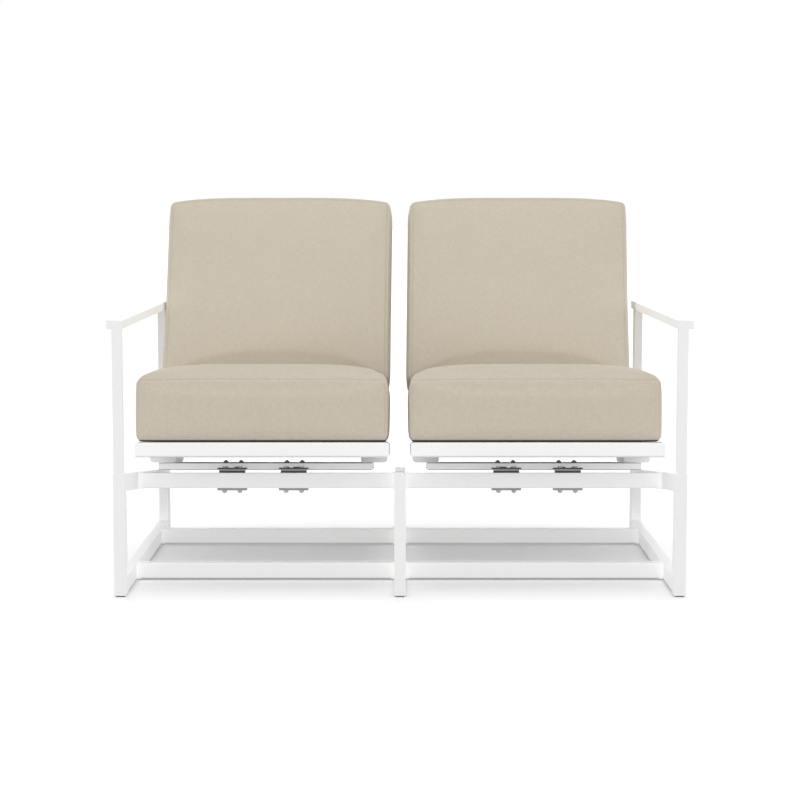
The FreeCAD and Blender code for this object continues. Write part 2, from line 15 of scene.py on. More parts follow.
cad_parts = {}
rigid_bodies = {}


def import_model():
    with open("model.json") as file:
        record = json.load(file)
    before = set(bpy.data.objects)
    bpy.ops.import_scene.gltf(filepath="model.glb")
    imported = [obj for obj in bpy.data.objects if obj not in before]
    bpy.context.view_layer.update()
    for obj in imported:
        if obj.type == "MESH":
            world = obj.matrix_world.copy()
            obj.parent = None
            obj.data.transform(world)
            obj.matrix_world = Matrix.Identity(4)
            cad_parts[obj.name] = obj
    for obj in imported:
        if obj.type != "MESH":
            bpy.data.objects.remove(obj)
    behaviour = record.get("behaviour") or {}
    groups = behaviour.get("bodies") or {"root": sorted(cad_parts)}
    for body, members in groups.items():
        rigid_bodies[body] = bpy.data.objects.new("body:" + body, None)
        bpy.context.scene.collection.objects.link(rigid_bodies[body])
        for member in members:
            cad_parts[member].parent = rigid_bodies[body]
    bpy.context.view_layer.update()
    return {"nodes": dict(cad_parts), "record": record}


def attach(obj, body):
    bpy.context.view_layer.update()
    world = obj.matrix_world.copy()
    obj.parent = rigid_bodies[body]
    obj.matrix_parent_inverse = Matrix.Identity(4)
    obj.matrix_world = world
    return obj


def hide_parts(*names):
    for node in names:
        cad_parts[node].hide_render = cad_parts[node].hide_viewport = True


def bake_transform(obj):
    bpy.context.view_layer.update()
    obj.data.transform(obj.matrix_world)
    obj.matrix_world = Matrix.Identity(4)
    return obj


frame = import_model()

bl_info = {
    "name": "Patio rocker looks",
    "version": (1, 0, 0),
    "blender": (4, 5, 0),
    "location": "View3D > Sidebar > Rocker",
    "description": "Dresses the packed two-seat rocker with cushions, springs, webbing and finishes",
    "category": "Object",
}

SIDES = (("left", -1), ("right", 1))
SEAT_TILT = math.radians(7.3)  # how far the seat frame falls to the back
SEAT_ORIGIN = (0.0, -0.354502, 0.3083)  # lower front edge of the seat frame
BACK_RISE = math.radians(69.1)  # the back frame over level
BACK_ORIGIN = (0.0, 0.257783, 0.266763)  # foot of the back frame
CREASE = math.radians(30.0)  # edges that turn further than this stay sharp
Fit = namedtuple("Fit", "middle width")  # place and cut of one cushion


def panel_frame(origin, turn):
    """A frame whose X runs right, whose Y runs up a panel and whose Z leaves it squarely."""
    return Matrix.Translation(origin) @ Matrix.Rotation(turn, 4, "X")


SEAT_FRAME = panel_frame(SEAT_ORIGIN, -SEAT_TILT)
BACK_FRAME = panel_frame(BACK_ORIGIN, BACK_RISE)


# Sizes and colours that a user would change

def length(name, description, default):
    return FloatProperty(name=name, description=description, default=default, unit="LENGTH", precision=4)


def share(name, description, default):
    return FloatProperty(name=name, description=description, default=default, subtype="FACTOR", min=0.0)


def angle(name, description, degrees):
    return FloatProperty(name=name, description=description, default=math.radians(degrees), unit="ROTATION")


def count(name, description, default):
    return IntProperty(name=name, description=description, default=default, min=2)


def colour(name, description, default):
    return FloatVectorProperty(name=name, description=description, default=default, size=3,
                               subtype="COLOR", min=0.0, max=1.0)


class SeatCushionSizes(bpy.types.PropertyGroup):
    width: length("Width", "Cover from side to side before it is filled", 0.6126)
    length: length("Depth", "Cover from front to back before it is filled", 0.6030)
    start: length("Start", "Front face behind the front edge of the seat frame", 0.0020)
    rest: length("Rest", "Underside above the lower edge of the seat frame", 0.0384)
    edge: length("Edge", "Height of the upper seam above the lower edge of the seat frame", 0.1860)
    crown: length("Crown", "Swell of the top above its seam", 0.0232)
    rise: length("Rise", "How far the side seams bow up between the corners", 0.0228)
    taper: length("Taper", "How much narrower each side of the underside is", 0.0025)
    corner: length("Corner", "Radius of the upright corners", 0.0130)
    rim: length("Rim", "Radius of the upper and lower edges", 0.0110)
    bulge: length("Bulge", "Swell of the boxing at mid height", 0.0010)
    pull: length("Pull", "How far the seams draw in between the corners", 0.0010)
    seam: length("Seam", "How far the seams lie inside the edges", 0.0)
    arch: length("Arch", "Swell of the rear end in its middle", 0.0)
    droop: length("Droop", "How far the front corners hang", 0.0)
    # painted shade: a near-black band round the underside stands for the shade in the gap between the cushion
    # and the seat rails
    shade_lining: length("Lining", "Height of the dark lining round the underside", 0.0030)
    left_place: length("Left place", "Middle of the left cushion", -0.3358)
    right_place: length("Right place", "Middle of the right cushion", 0.3298)
    right_trim: length("Right trim", "How much narrower the right cover is", 0.0)
    lean: length("Lean", "How far the covers lean across", 0.0)
    swell: length("Swell", "Most that the filling moves the cover", 0.0035)


class BackCushionSizes(bpy.types.PropertyGroup):
    width: length("Width", "Cover from side to side before it is filled", 0.6121)
    length: length("Height", "Cover from bottom to top before it is filled", 0.4855)
    start: length("Start", "Bottom above the foot of the back frame", 0.1660)
    rest: length("Rest", "Rear face in front of the back frame", 0.0036)
    edge: length("Edge", "Front seam in front of the back frame", 0.1370)
    crown: length("Crown", "Swell of the front above its seam", 0.0290)
    rise: length("Rise", "How far the side seams bow forward between the corners", 0.0)
    taper: length("Taper", "How much narrower each side of the rear face is", 0.0)
    corner: length("Corner", "Radius of the corners seen from the front", 0.0120)
    rim: length("Rim", "Radius of the front and rear edges", 0.0080)
    bulge: length("Bulge", "Swell of the boxing at mid thickness", 0.0010)
    pull: length("Pull", "How far the seams draw in between the corners", 0.0015)
    seam: length("Seam", "How far the seams lie inside the edges", 0.0070)
    arch: length("Arch", "Swell of the top end in its middle", 0.0175)
    droop: length("Droop", "How far the bottom corners hang", 0.0320)
    # the band of painted shade round the rear face is left out here
    shade_lining: length("Lining", "Height of the dark lining round the rear face", 0.0)
    left_place: length("Left place", "Middle of the left cushion", -0.3330)
    right_place: length("Right place", "Middle of the right cushion", 0.3225)
    right_trim: length("Right trim", "How much narrower the right cover is", 0.0118)
    lean: length("Lean", "How far the covers lean across", 0.0058)
    swell: length("Swell", "Most that the filling moves the cover", 0.0035)


class CoverSewing(bpy.types.PropertyGroup):
    cell: length("Cell", "Mesh size of the covers before they are smoothed", 0.0060)
    pressure: FloatProperty(name="Pressure", description="Filling pressure in the covers", default=3.0)
    groove: length("Groove", "Depth of the sewn seams", 0.0009)
    groove_width: length("Groove width", "Half width of the sewn seams", 0.0035)
    fill: share("Fill", "How tightly the cushions are stuffed", 0.75)


class SpringSizes(bpy.types.PropertyGroup):
    spacing: length("Spacing", "Between the two springs of a seat", 0.152)
    middle: length("Middle", "Middle of the pair from the middle of the bench", 0.3386)
    width: length("Width", "Width of a leaf at its foot and its tip", 0.063)
    waist: length("Waist", "Width of a leaf between its foot and its tip", 0.026)
    shoulder: length("Shoulder", "Length over which a leaf narrows", 0.008)
    thickness: length("Thickness", "Thickness of a leaf", 0.005)
    foot_start: length("Foot start", "Front of the clamped foot", 0.0937)
    foot_end: length("Foot end", "Rear of the clamped foot", 0.1212)
    foot_rise: length("Foot rise", "Middle of the foot under the seat frame", -0.0358)
    loop_place: length("Loop place", "Middle of the loop behind the front edge", 0.310)
    loop_rise: length("Loop rise", "Middle of the loop under the seat frame", -0.0363)
    loop_radius: length("Loop radius", "Radius of the loop to the middle of the leaf", 0.016)
    tip_start: length("Tip start", "Front end of the leg under the pan", 0.136)
    tip: length("Tip", "Length of the wide tip under the pan", 0.016)


class StrapSizes(bpy.types.PropertyGroup):
    width: length("Width", "Width of a strap", 0.050)
    thickness: length("Thickness", "Thickness of a strap", 0.0016)
    seat_reach: length("Seat reach", "Half the length of a seat strap", 0.3025)
    back_reach: length("Back reach", "Half the length of a back strap", 0.2925)
    middle: length("Middle", "Middle of a seat from the middle of the bench", 0.3345)
    bearing: length("Bearing", "Half the free span between the rails", 0.2795)
    sag: length("Sag", "Dip of a seat strap in its middle", 0.0004)
    seat_count: count("Seat straps", "Straps under a seat cushion", 7)
    seat_first: length("Seat first", "Middle of the front seat strap", 0.060)
    seat_last: length("Seat last", "Middle of the rear seat strap", 0.552)
    seat_bed: length("Seat bed", "Top of the seat rails", 0.0366)
    back_count: count("Back straps", "Straps behind a back cushion", 6)
    back_first: length("Back first", "Middle of the lowest back strap", 0.210)
    back_last: length("Back last", "Middle of the highest back strap", 0.6002)


class Finishes(bpy.types.PropertyGroup):
    fabric: colour("Fabric", "Cushion cover", (0.509, 0.448, 0.355))
    fabric_fleck: colour("Fabric fleck", "Lighter yarns of the cover", (0.584, 0.531, 0.443))
    # painted shade for the gap under the seat cushions
    shade_lining: colour("Lining", "Underside of the seat cushions", (0.006, 0.005, 0.003))
    coat: colour("Powder coat", "Painted tubes", (0.885, 0.885, 0.880))
    pan: colour("Pan", "Rocker pan", (0.900, 0.900, 0.902))
    # painted shade along the lower edges and bends of the pan
    pan_edge_shade: colour("Pan edge", "Bare edges and bends of the pan", (0.360, 0.360, 0.364))
    clamp: colour("Clamps", "Plates and spacers of the clamps", (0.270, 0.270, 0.273))
    spring: colour("Springs", "Leaf springs", (0.050, 0.050, 0.053))
    # painted reflection: a near-black tint stands for the dark reflection that the pan's bright nuts show
    dark_bolt_reflection: colour("Dark bolt reflection", "Bolts of the pan", (0.080, 0.080, 0.083))
    zinc: colour("Zinc", "Bright bolts", (0.400, 0.400, 0.405))
    webbing: colour("Webbing", "Elastic straps", (0.030, 0.030, 0.032))
    glide: colour("Glide", "Foot glides", (0.040, 0.040, 0.040))


class StageSettings(bpy.types.PropertyGroup):
    lens: FloatProperty(name="Lens", description="Focal length", default=85.0, unit="CAMERA")
    distance: length("Distance", "Camera in front of the middle of the bench", 4.8801)
    height: length("Height", "Camera above the floor", 0.920)
    dip: angle("Dip", "Camera below level", 5.954)
    room: share("Room light", "Strength of the light from all round", 0.68)
    top: share("Top light", "Strength of the light from above", 0.12)
    top_lean: angle("Top lean", "How far the light from above stands behind the bench", 12.0)
    top_spread: angle("Top spread", "Width of the light from above", 60.0)
    fill: share("Fills", "Strength of each of the three low lights round the bench", 0.48)
    fill_height: angle("Fill height", "Angle of the low lights over the floor", 6.0)
    fill_spread: angle("Fill spread", "Width of the low lights", 55.0)
    fill_turn: angle("Fill turn", "Between the low light behind and the next one", 120.0)
    floor: colour("Floor", "Floor", (0.950, 0.950, 0.950))
    floor_bounce: colour("Floor bounce", "Floor as other surfaces see it", (0.230, 0.230, 0.230))
    floor_light: share("Floor light", "Strength of the light from above that the floor alone gets", 0.24)
    floor_spread: angle("Floor spread", "Width of the light from above that the floor alone gets", 40.0)
    floor_lean: angle("Floor lean", "How far the floor's light stands behind the bench", 22.0)


class RockerSettings(bpy.types.PropertyGroup):
    seat_cushion: PointerProperty(type=SeatCushionSizes)
    back_cushion: PointerProperty(type=BackCushionSizes)
    sewing: PointerProperty(type=CoverSewing)
    springs: PointerProperty(type=SpringSizes)
    straps: PointerProperty(type=StrapSizes)
    finishes: PointerProperty(type=Finishes)
    stage: PointerProperty(type=StageSettings)


# Materials

WHITE = (1.0, 1.0, 1.0, 1.0)
NOISE = (0.3, 0.7)  # most of a noise lies between these
MIX_FIRST, MIX_SECOND, MIX_RESULT = 6, 7, 2  # colour sockets of a mix node
PAN_MIDDLE = 0.276  # middle of the pan behind the front edge of the seat frame
PAN_LIPS = (0.139, 0.141)  # from the middle of the pan to its lips
PAN_FOOT_SHADE = (-0.0305, -0.0293)  # painted shade under the first height, at the lips' lower edges; none over the second
PAN_BEND_SHADE = (-0.0160, -0.0152)  # no shade under the first height; painted shade over the second, at the bends
BOXING_START = 0.006  # from a rim seam to where the upright seams show fully
OFF_BOXING = 0.05  # keeps the upright seams from showing on the top and the underside
STITCH_SHADE = (0.0004, 0.0026)  # from the middle of a seam to where its painted shade fades and ends
STITCH_DIP = 0.0020  # from the middle of a seam to where its dip ends
SHADE_LINING_EDGE = 0.0006  # over which the fabric gives way to the near-black band of painted shade round the underside


class Shading:
    """The shader of a material or a world, and short calls that add nodes to it."""

    def __init__(self, owner, shader):
        owner.use_nodes = True
        self.tree = owner.node_tree
        self.shader = self.tree.nodes[shader]

    def set(self, socket, value):
        self.feed(self.shader.inputs[socket], value)

    def feed(self, socket, value):
        if isinstance(value, bpy.types.NodeSocket):
            self.tree.links.new(value, socket)
        else:
            socket.default_value = value

    def node(self, kind, inputs=None, **options):
        made = self.tree.nodes.new(kind)
        for option, value in options.items():
            setattr(made, option, value)
        for socket, value in (inputs or {}).items():
            self.feed(made.inputs[socket], value)
        return made

    def math(self, operation, first, second=0.0, third=0.0):
        return self.node("ShaderNodeMath", {0: first, 1: second, 2: third}, operation=operation).outputs[0]

    def ramp(self, value, low, high, start=0.0, end=1.0):
        return self.node("ShaderNodeMapRange", {"Value": value, "From Min": low, "From Max": high,
                                                "To Min": start, "To Max": end}).outputs[0]

    def seen_directly(self):
        """One for rays from the camera, a mirror or a clear piece, and nothing for rays that only light."""
        rays = self.node("ShaderNodeLightPath").outputs
        seen = self.math("MAXIMUM", rays["Is Camera Ray"], rays["Is Glossy Ray"])
        return self.math("MAXIMUM", seen, rays["Is Transmission Ray"])


class Finish(Shading):
    """A material, and the patterns that its looks are made of."""

    def __init__(self, name, roughness, metallic=0.0):
        self.material = bpy.data.materials.new(name)
        super().__init__(self.material, "Principled BSDF")
        self.set("Roughness", roughness)
        self.set("Metallic", metallic)

    def place(self):
        return self.node("ShaderNodeTexCoord").outputs["Object"]

    def attribute(self, name, output="Fac"):
        return self.node("ShaderNodeAttribute", attribute_name=name).outputs[output]

    def grain(self, place, stretch, detail=2.0):
        """Noise whose cells measure one over the stretch along each axis."""
        scaled = self.node("ShaderNodeMapping", {"Vector": place, "Scale": stretch})
        return self.node("ShaderNodeTexNoise", {"Vector": scaled.outputs[0], "Scale": 1.0,
                                                "Detail": detail}).outputs[0]

    def weave(self, place, along, across, detail):
        """Threads along each of the three axes, so that every panel shows a pair that crosses."""
        threads = [self.grain(place, stretch, detail) for stretch in
                   ((along, across, across), (across, along, across), (across, across, along))]
        total = self.math("ADD", self.math("ADD", threads[0], threads[1]), threads[2])
        return self.math("DIVIDE", total, len(threads))

    def overlay(self, first, second):
        """Three parts of the first pattern with two of the second."""
        return self.math("MULTIPLY_ADD", first, 0.6, self.math("MULTIPLY", second, 0.4))

    def mix(self, share_of_second, first, second):
        made = self.node("ShaderNodeMix", data_type="RGBA")
        self.feed(made.inputs[0], share_of_second)
        self.feed(made.inputs[MIX_FIRST], first)
        self.feed(made.inputs[MIX_SECOND], second)
        return made.outputs[MIX_RESULT]

    def bump(self, height, distance, strength):
        made = self.node("ShaderNodeBump", {"Height": height, "Distance": distance, "Strength": strength})
        self.set("Normal", made.outputs[0])


def rgba(tint, scale=1.0):
    return (tint[0] * scale, tint[1] * scale, tint[2] * scale, 1.0)


def powder_coat(tint):
    """Satin paint with the fine pebbled skin that baking leaves."""
    coat = Finish("Powder coat", roughness=0.55)
    coat.set("Specular IOR Level", 0.25)
    place = coat.place()
    clouds = coat.grain(place, (5.0, 5.0, 5.0))
    pebbles = coat.grain(place, (650.0, 650.0, 650.0), detail=1.0)
    coat.set("Base Color", coat.mix(coat.ramp(clouds, *NOISE), rgba(tint, 0.985), rgba(tint)))
    coat.set("Roughness", coat.ramp(pebbles, *NOISE, start=0.50, end=0.60))
    coat.bump(pebbles, distance=0.0002, strength=0.35)
    return coat.material


def rolled_steel(name, tint, roughness, metallic):
    """Sheet or bar steel with faint rolling lines along its width."""
    steel = Finish(name, roughness, metallic)
    place = steel.place()
    lines = steel.grain(place, (14.0, 900.0, 900.0))
    patches = steel.grain(place, (40.0, 40.0, 40.0), detail=3.0)
    shade = steel.overlay(lines, patches)
    steel.set("Base Color", steel.mix(steel.ramp(shade, 0.35, 0.65), rgba(tint, 0.86), rgba(tint, 1.10)))
    steel.set("Roughness", steel.ramp(lines, *NOISE, start=roughness - 0.06, end=roughness + 0.08))
    steel.bump(lines, distance=0.0001, strength=0.4)
    return steel.material


def painted_pan(tint, shade_tint):
    """Pale paint, with painted shade along the lips' lower edges and bends."""
    pan = Finish("Pan steel", roughness=0.45)
    place = pan.place()
    level = Matrix.Rotation(SEAT_TILT, 3, "X")
    origin = level @ -SEAT_FRAME.translation
    on_seat = pan.node("ShaderNodeMapping", {"Vector": place, "Location": origin,
                                             "Rotation": (SEAT_TILT, 0.0, 0.0)})
    split = pan.node("ShaderNodeSeparateXYZ", {"Vector": on_seat.outputs[0]})
    along, rise = split.outputs["Y"], split.outputs["Z"]
    # painted shade: a darker tint along the lower edge of each lip and along the bends over the lips, broken
    # by streaks
    lower = pan.ramp(rise, *PAN_FOOT_SHADE, start=1.0, end=0.0)
    upper = pan.ramp(rise, *PAN_BEND_SHADE)
    on_lip = pan.ramp(pan.math("ABSOLUTE", pan.math("SUBTRACT", along, PAN_MIDDLE)), *PAN_LIPS)
    edge_shade = pan.math("MAXIMUM", lower, pan.math("MULTIPLY", upper, on_lip))
    streaks = pan.grain(place, (25.0, 500.0, 500.0), detail=3.0)
    edge_shade = pan.math("MULTIPLY", edge_shade, pan.ramp(streaks, 0.2, 0.5, start=0.75))
    clouds = pan.grain(place, (12.0, 12.0, 12.0), detail=3.0)
    paint = pan.mix(pan.ramp(clouds, *NOISE), rgba(tint, 0.97), rgba(tint, 1.02))
    pan.set("Base Color", pan.mix(edge_shade, paint, rgba(shade_tint)))
    pan.set("Roughness", pan.ramp(edge_shade, 0.0, 1.0, start=0.5, end=0.35))
    pan.bump(streaks, distance=0.0001, strength=0.3)
    return pan.material


def moulded_plastic(tint):
    """Matt black glides with a spark-eroded skin and scuffs underneath."""
    plastic = Finish("Glide plastic", roughness=0.55)
    place = plastic.place()
    skin = plastic.grain(place, (900.0, 900.0, 900.0), detail=1.0)
    scuffs = plastic.grain(place, (60.0, 60.0, 300.0), detail=4.0)
    plastic.set("Base Color", plastic.mix(plastic.ramp(scuffs, 0.5, 0.8), rgba(tint), rgba(tint, 2.2)))
    plastic.set("Roughness", plastic.ramp(scuffs, 0.4, 0.8, start=0.5, end=0.7))
    plastic.bump(skin, distance=0.0001, strength=0.3)
    return plastic.material


def woven_strap(tint):
    """Elastic webbing: ribs along the strap and cross threads."""
    web = Finish("Webbing", roughness=0.8)
    place = web.place()
    ribs = web.grain(place, (30.0, 420.0, 420.0), detail=1.0)
    threads = web.grain(place, (700.0, 120.0, 120.0), detail=1.0)
    weave = web.overlay(ribs, threads)
    web.set("Base Color", web.mix(web.ramp(weave, 0.4, 0.62), rgba(tint, 0.6), rgba(tint, 1.8)))
    web.bump(weave, distance=0.0008, strength=0.7)
    web.set("Sheen Weight", 0.15)
    return web.material


def heathered_fabric(tint, fleck, shade_lining):
    """A fine basket weave of mixed yarns, with sewn seams where the cover's panels meet, painted shade along
    the seams and a near-black band of painted shade round the underside.
    """
    cover = Finish("Cushion fabric", roughness=0.86)
    place = cover.attribute("cover_place", "Vector")
    yarns = cover.weave(place, along=70.0, across=620.0, detail=2.0)
    clouds = cover.grain(place, (16.0, 16.0, 16.0), detail=3.0)
    mixed = cover.mix(cover.ramp(yarns, 0.38, 0.62), rgba(tint), rgba(fleck))
    mixed = cover.mix(cover.ramp(clouds, *NOISE, end=0.10), mixed, rgba(tint, 0.9))
    rim = cover.math("ABSOLUTE", cover.attribute("rim_seam"))
    upright = cover.math("ABSOLUTE", cover.attribute("corner_seam"))
    on_boxing = cover.ramp(cover.attribute("rim_seam"), 0.0, BOXING_START)
    upright = cover.math("ADD", upright, cover.ramp(on_boxing, 0.0, 1.0, start=OFF_BOXING, end=0.0))
    nearest = cover.math("MINIMUM", rim, upright)
    # painted shade along the seam grooves, darkest at each seam's middle
    seam_shade = cover.ramp(nearest, *STITCH_SHADE, start=0.20, end=0.0)
    sewn = cover.mix(seam_shade, mixed, rgba(tint, 0.45))
    # painted shade: a near-black band round the underside, for the gap between the cushion and the seat rails
    shade_lined = cover.ramp(cover.attribute("shade_lining"), 0.0, SHADE_LINING_EDGE)
    cover.set("Base Color", cover.mix(shade_lined, sewn, rgba(shade_lining)))
    threads = cover.weave(place, along=300.0, across=1100.0, detail=0.0)
    seam = cover.ramp(nearest, 0.0, STITCH_DIP, start=-1.2, end=0.0)
    cover.bump(cover.math("MULTIPLY_ADD", threads, 2.0, seam), distance=0.0004, strength=0.5)
    cover.set("Sheen Weight", 0.12)
    cover.set("Sheen Roughness", 0.5)
    return cover.material


# Mesh helpers

def coordinates(mesh):
    places = np.empty(len(mesh.vertices) * 3)
    mesh.vertices.foreach_get("co", places)
    return places.reshape(-1, 3)


def set_coordinates(mesh, places):
    mesh.vertices.foreach_set("co", places.ravel())
    mesh.update()


def store(mesh, name, kind, values):
    data = mesh.attributes.new(name, kind, "POINT").data
    data.foreach_set("vector" if kind == "FLOAT_VECTOR" else "value", values.astype(np.float32).ravel())


def stored(mesh, name):
    values = np.empty(len(mesh.vertices), np.float32)
    mesh.attributes[name].data.foreach_get("value", values)
    return values


def link(name, mesh):
    piece = bpy.data.objects.new(name, mesh)
    bpy.context.scene.collection.objects.link(piece)
    return piece


def from_bmesh(name, work):
    mesh = bpy.data.meshes.new(name)
    work.to_mesh(mesh)
    work.free()
    return link(name, mesh)


def settle(piece):
    """Make the modifiers' result the piece's own mesh."""
    graph = bpy.context.evaluated_depsgraph_get()
    mesh = bpy.data.meshes.new_from_object(piece.evaluated_get(graph), preserve_all_data_layers=True,
                                           depsgraph=graph)
    piece.modifiers.clear()
    old = piece.data
    piece.data = mesh
    bpy.data.meshes.remove(old)
    mesh.name = piece.name


def smooth(piece, crease=None):
    """Shade a piece smoothly, all over or but for the edges that turn further than the crease."""
    if crease is None:
        piece.data.shade_smooth()
    else:
        with bpy.context.temp_override(object=piece, active_object=piece, selected_editable_objects=[piece]):
            bpy.ops.object.shade_smooth_by_angle(angle=crease)


# Cushions

FILL_FRAMES = 14  # length of the simulation that fills a cover
LEAST_MOVE = 1e-9  # keeps a point that stays put from being divided by nothing
END_FALL = 0.8  # share of the crown and the rise that is gone at the ends
FLAT_POWER = 4  # the higher, the longer a swell stays flat before it falls
EDGE_POWER = 8  # the higher, the closer a swell keeps to the edge
HANG_POWER = 3  # the higher, the closer the droop keeps to the corners
UPRIGHT_START = 0.008  # from a rim seam to where the upright seams are fully sunk
UPRIGHT_SHARE = 0.6  # depth of the upright seams against that of the rim seams


def boxed_cover(name, sizes, fit):
    """The cover before it is filled: a block with rounded corners and edges."""
    work = bmesh.new()
    bmesh.ops.create_cube(work, size=1.0)
    thickness = sizes.edge - sizes.rest
    bmesh.ops.scale(work, vec=(fit.width, sizes.length, thickness), verts=work.verts)
    middle = (fit.middle, sizes.start + sizes.length / 2, sizes.rest + thickness / 2)
    bmesh.ops.translate(work, vec=middle, verts=work.verts)
    uprights = [edge for edge in work.edges if abs(edge.verts[0].co.z - edge.verts[1].co.z) > thickness / 2]
    bmesh.ops.bevel(work, geom=uprights, offset=sizes.corner, segments=8, profile=0.5, affect="EDGES",
                    material=-1)
    rims = [edge for edge in work.edges if edge.verts[0].co.z == edge.verts[1].co.z
            and any(abs(face.normal.z) > 0.5 for face in edge.link_faces)]
    bmesh.ops.bevel(work, geom=rims, offset=sizes.rim, segments=5, profile=0.5, affect="EDGES", material=-1)
    return from_bmesh(name, work)


def mark_seams(mesh, sizes, fit):
    """Store where each point of the cover lies, how far from the seams and how far inside the band of painted
    shade round the underside.
    """
    places = coordinates(mesh)
    across = fit.width / 2 - np.abs(places[:, 0] - fit.middle)
    along = sizes.length / 2 - np.abs(places[:, 1] - sizes.start - sizes.length / 2)
    turn_x = np.maximum(sizes.corner - across, 0.0)
    turn_y = np.maximum(sizes.corner - along, 0.0)
    in_corner = (turn_x > 0) & (turn_y > 0)
    inset = np.where(in_corner, sizes.corner - np.hypot(turn_x, turn_y), np.minimum(across, along))
    depth = np.minimum(places[:, 2] - sizes.rest, sizes.edge - places[:, 2])
    store(mesh, "cover_place", "FLOAT_VECTOR", places)
    store(mesh, "rim_seam", "FLOAT", (depth - inset + sizes.seam) / math.sqrt(2))
    store(mesh, "corner_seam", "FLOAT", (across - along) / math.sqrt(2))
    store(mesh, "shade_lining", "FLOAT", sizes.shade_lining - (places[:, 2] - sizes.rest))


def shape_cover(mesh, sizes, fit):
    """Crown the top, swell the boxing, draw the seams in between the corners and hang the ends."""
    places = coordinates(mesh)
    across = np.clip((places[:, 0] - fit.middle) / (fit.width / 2), -1, 1)
    along = np.clip((places[:, 1] - sizes.start) / (sizes.length / 2) - 1, -1, 1)
    level = np.clip((places[:, 2] - sizes.rest) / (sizes.edge - sizes.rest), 0, 1)
    bow = 1 - END_FALL * np.abs(along) ** FLAT_POWER
    places[:, 2] += (sizes.crown * (1 - np.abs(across) ** FLAT_POWER) + sizes.rise) * bow * level ** 2
    belly = sizes.bulge * 4 * level * (1 - level) - sizes.pull
    out = belly * (1 - along ** 2) - sizes.taper * (1 - level)
    places[:, 0] += np.sign(across) * np.abs(across) ** EDGE_POWER * out
    places[:, 1] += np.sign(along) * np.abs(along) ** EDGE_POWER * belly * (1 - across ** 2)
    far_end = np.clip(along, 0, 1) ** FLAT_POWER
    near_end = np.clip(-along, 0, 1) ** FLAT_POWER
    arch = sizes.arch * (1 - across ** FLAT_POWER)
    droop = sizes.droop * np.abs(across) ** HANG_POWER
    places[:, 1] += arch * far_end - droop * near_end
    places[:, 0] += sizes.lean * along / 2
    set_coordinates(mesh, places)


def fill_cover(piece, sizes, sewing):
    """Fill the cover by cloth simulation; its underside stays on its bed."""
    before = coordinates(piece.data)
    bed = piece.vertex_groups.new(name="bed")
    resting = np.flatnonzero(before[:, 2] < sizes.rest + sewing.cell / 4)
    bed.add(resting.tolist(), 1.0, "ADD")
    cloth = piece.modifiers.new("Filling", "CLOTH")
    cloth.settings.quality = 5
    cloth.settings.mass = 0.3
    cloth.settings.tension_stiffness = 15.0
    cloth.settings.compression_stiffness = 15.0
    cloth.settings.shear_stiffness = 8.0
    cloth.settings.bending_stiffness = 6.0
    cloth.settings.use_pressure = True
    cloth.settings.uniform_pressure_force = sewing.pressure
    cloth.settings.effector_weights.gravity = 0.0
    cloth.settings.vertex_group_mass = bed.name
    cloth.collision_settings.use_collision = False
    cloth.point_cache.frame_start = 1
    cloth.point_cache.frame_end = FILL_FRAMES
    scene = bpy.context.scene
    for number in range(1, FILL_FRAMES + 1):
        scene.frame_set(number)
    graph = bpy.context.evaluated_depsgraph_get()
    moved = coordinates(piece.evaluated_get(graph).data) - before
    piece.modifiers.remove(cloth)
    piece.vertex_groups.clear()
    scene.frame_set(1)
    reach = np.maximum(np.linalg.norm(moved, axis=1, keepdims=True), LEAST_MOVE)
    set_coordinates(piece.data, before + moved * (sizes.swell * np.tanh(reach / sizes.swell) / reach))


def sew_seams(mesh, sewing):
    """Sink the seams into the filled cover."""
    rim = stored(mesh, "rim_seam")
    corner = stored(mesh, "corner_seam")
    normals = np.empty(len(mesh.vertices) * 3)
    mesh.vertices.foreach_get("normal", normals)
    on_boxing = np.clip(rim / UPRIGHT_START, 0, 1)
    sink = np.exp(-(rim / sewing.groove_width) ** 2)
    sink = np.maximum(sink, UPRIGHT_SHARE * on_boxing * np.exp(-(corner / sewing.groove_width) ** 2))
    set_coordinates(mesh, coordinates(mesh) - normals.reshape(-1, 3) * (sewing.groove * sink)[:, None])


def make_cushion(context, side_name, kind, sizes, panel):
    """Cut, fill and sew one cushion on its panel."""
    settings = context.scene.rocker
    fit = Fit(sizes.left_place, sizes.width)
    if side_name == "right":
        fit = Fit(sizes.right_place, sizes.width - sizes.right_trim)
    node = f"{side_name}_{kind}_cushion"
    piece = boxed_cover(node + "_cover", sizes, fit)
    cells = piece.modifiers.new("Cells", "REMESH")
    cells.mode = "VOXEL"
    cells.voxel_size = settings.sewing.cell
    settle(piece)
    mark_seams(piece.data, sizes, fit)
    shape_cover(piece.data, sizes, fit)
    fill_cover(piece, sizes, settings.sewing)
    finer = piece.modifiers.new("Finer", "SUBSURF")
    finer.levels = 1
    finer.render_levels = 1
    settle(piece)
    sew_seams(piece.data, settings.sewing)
    places = coordinates(piece.data)
    places[:, 2] = np.maximum(places[:, 2], sizes.rest)
    set_coordinates(piece.data, places)
    piece.data.transform(panel)
    smooth(piece)
    piece.data.materials.clear()
    piece.data.materials.append(fabric(context))
    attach(piece, f"{side_name}_seat")
    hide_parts(node)


def fabric(context):
    made = bpy.data.materials.get("Cushion fabric")
    tints = context.scene.rocker.finishes
    return made or heathered_fabric(tints.fabric, tints.fabric_fleck, tints.shade_lining)


# Springs

SHOULDER_STEPS = 4  # mesh steps along each stretch of a spring
LEAF_STEPS = 16
LOOP_STEPS = 18
TONGUE_STEPS = 4
EASED_SHARE = 1 / 8  # rounding of a leaf's edges against its thickness


def across_edge(work, centre, width, along, rise):
    """The edge that a leaf is drawn out from."""
    ends = [work.verts.new((centre + step * width / 2, along, rise)) for step in (-1, 1)]
    return work.edges.new(ends)


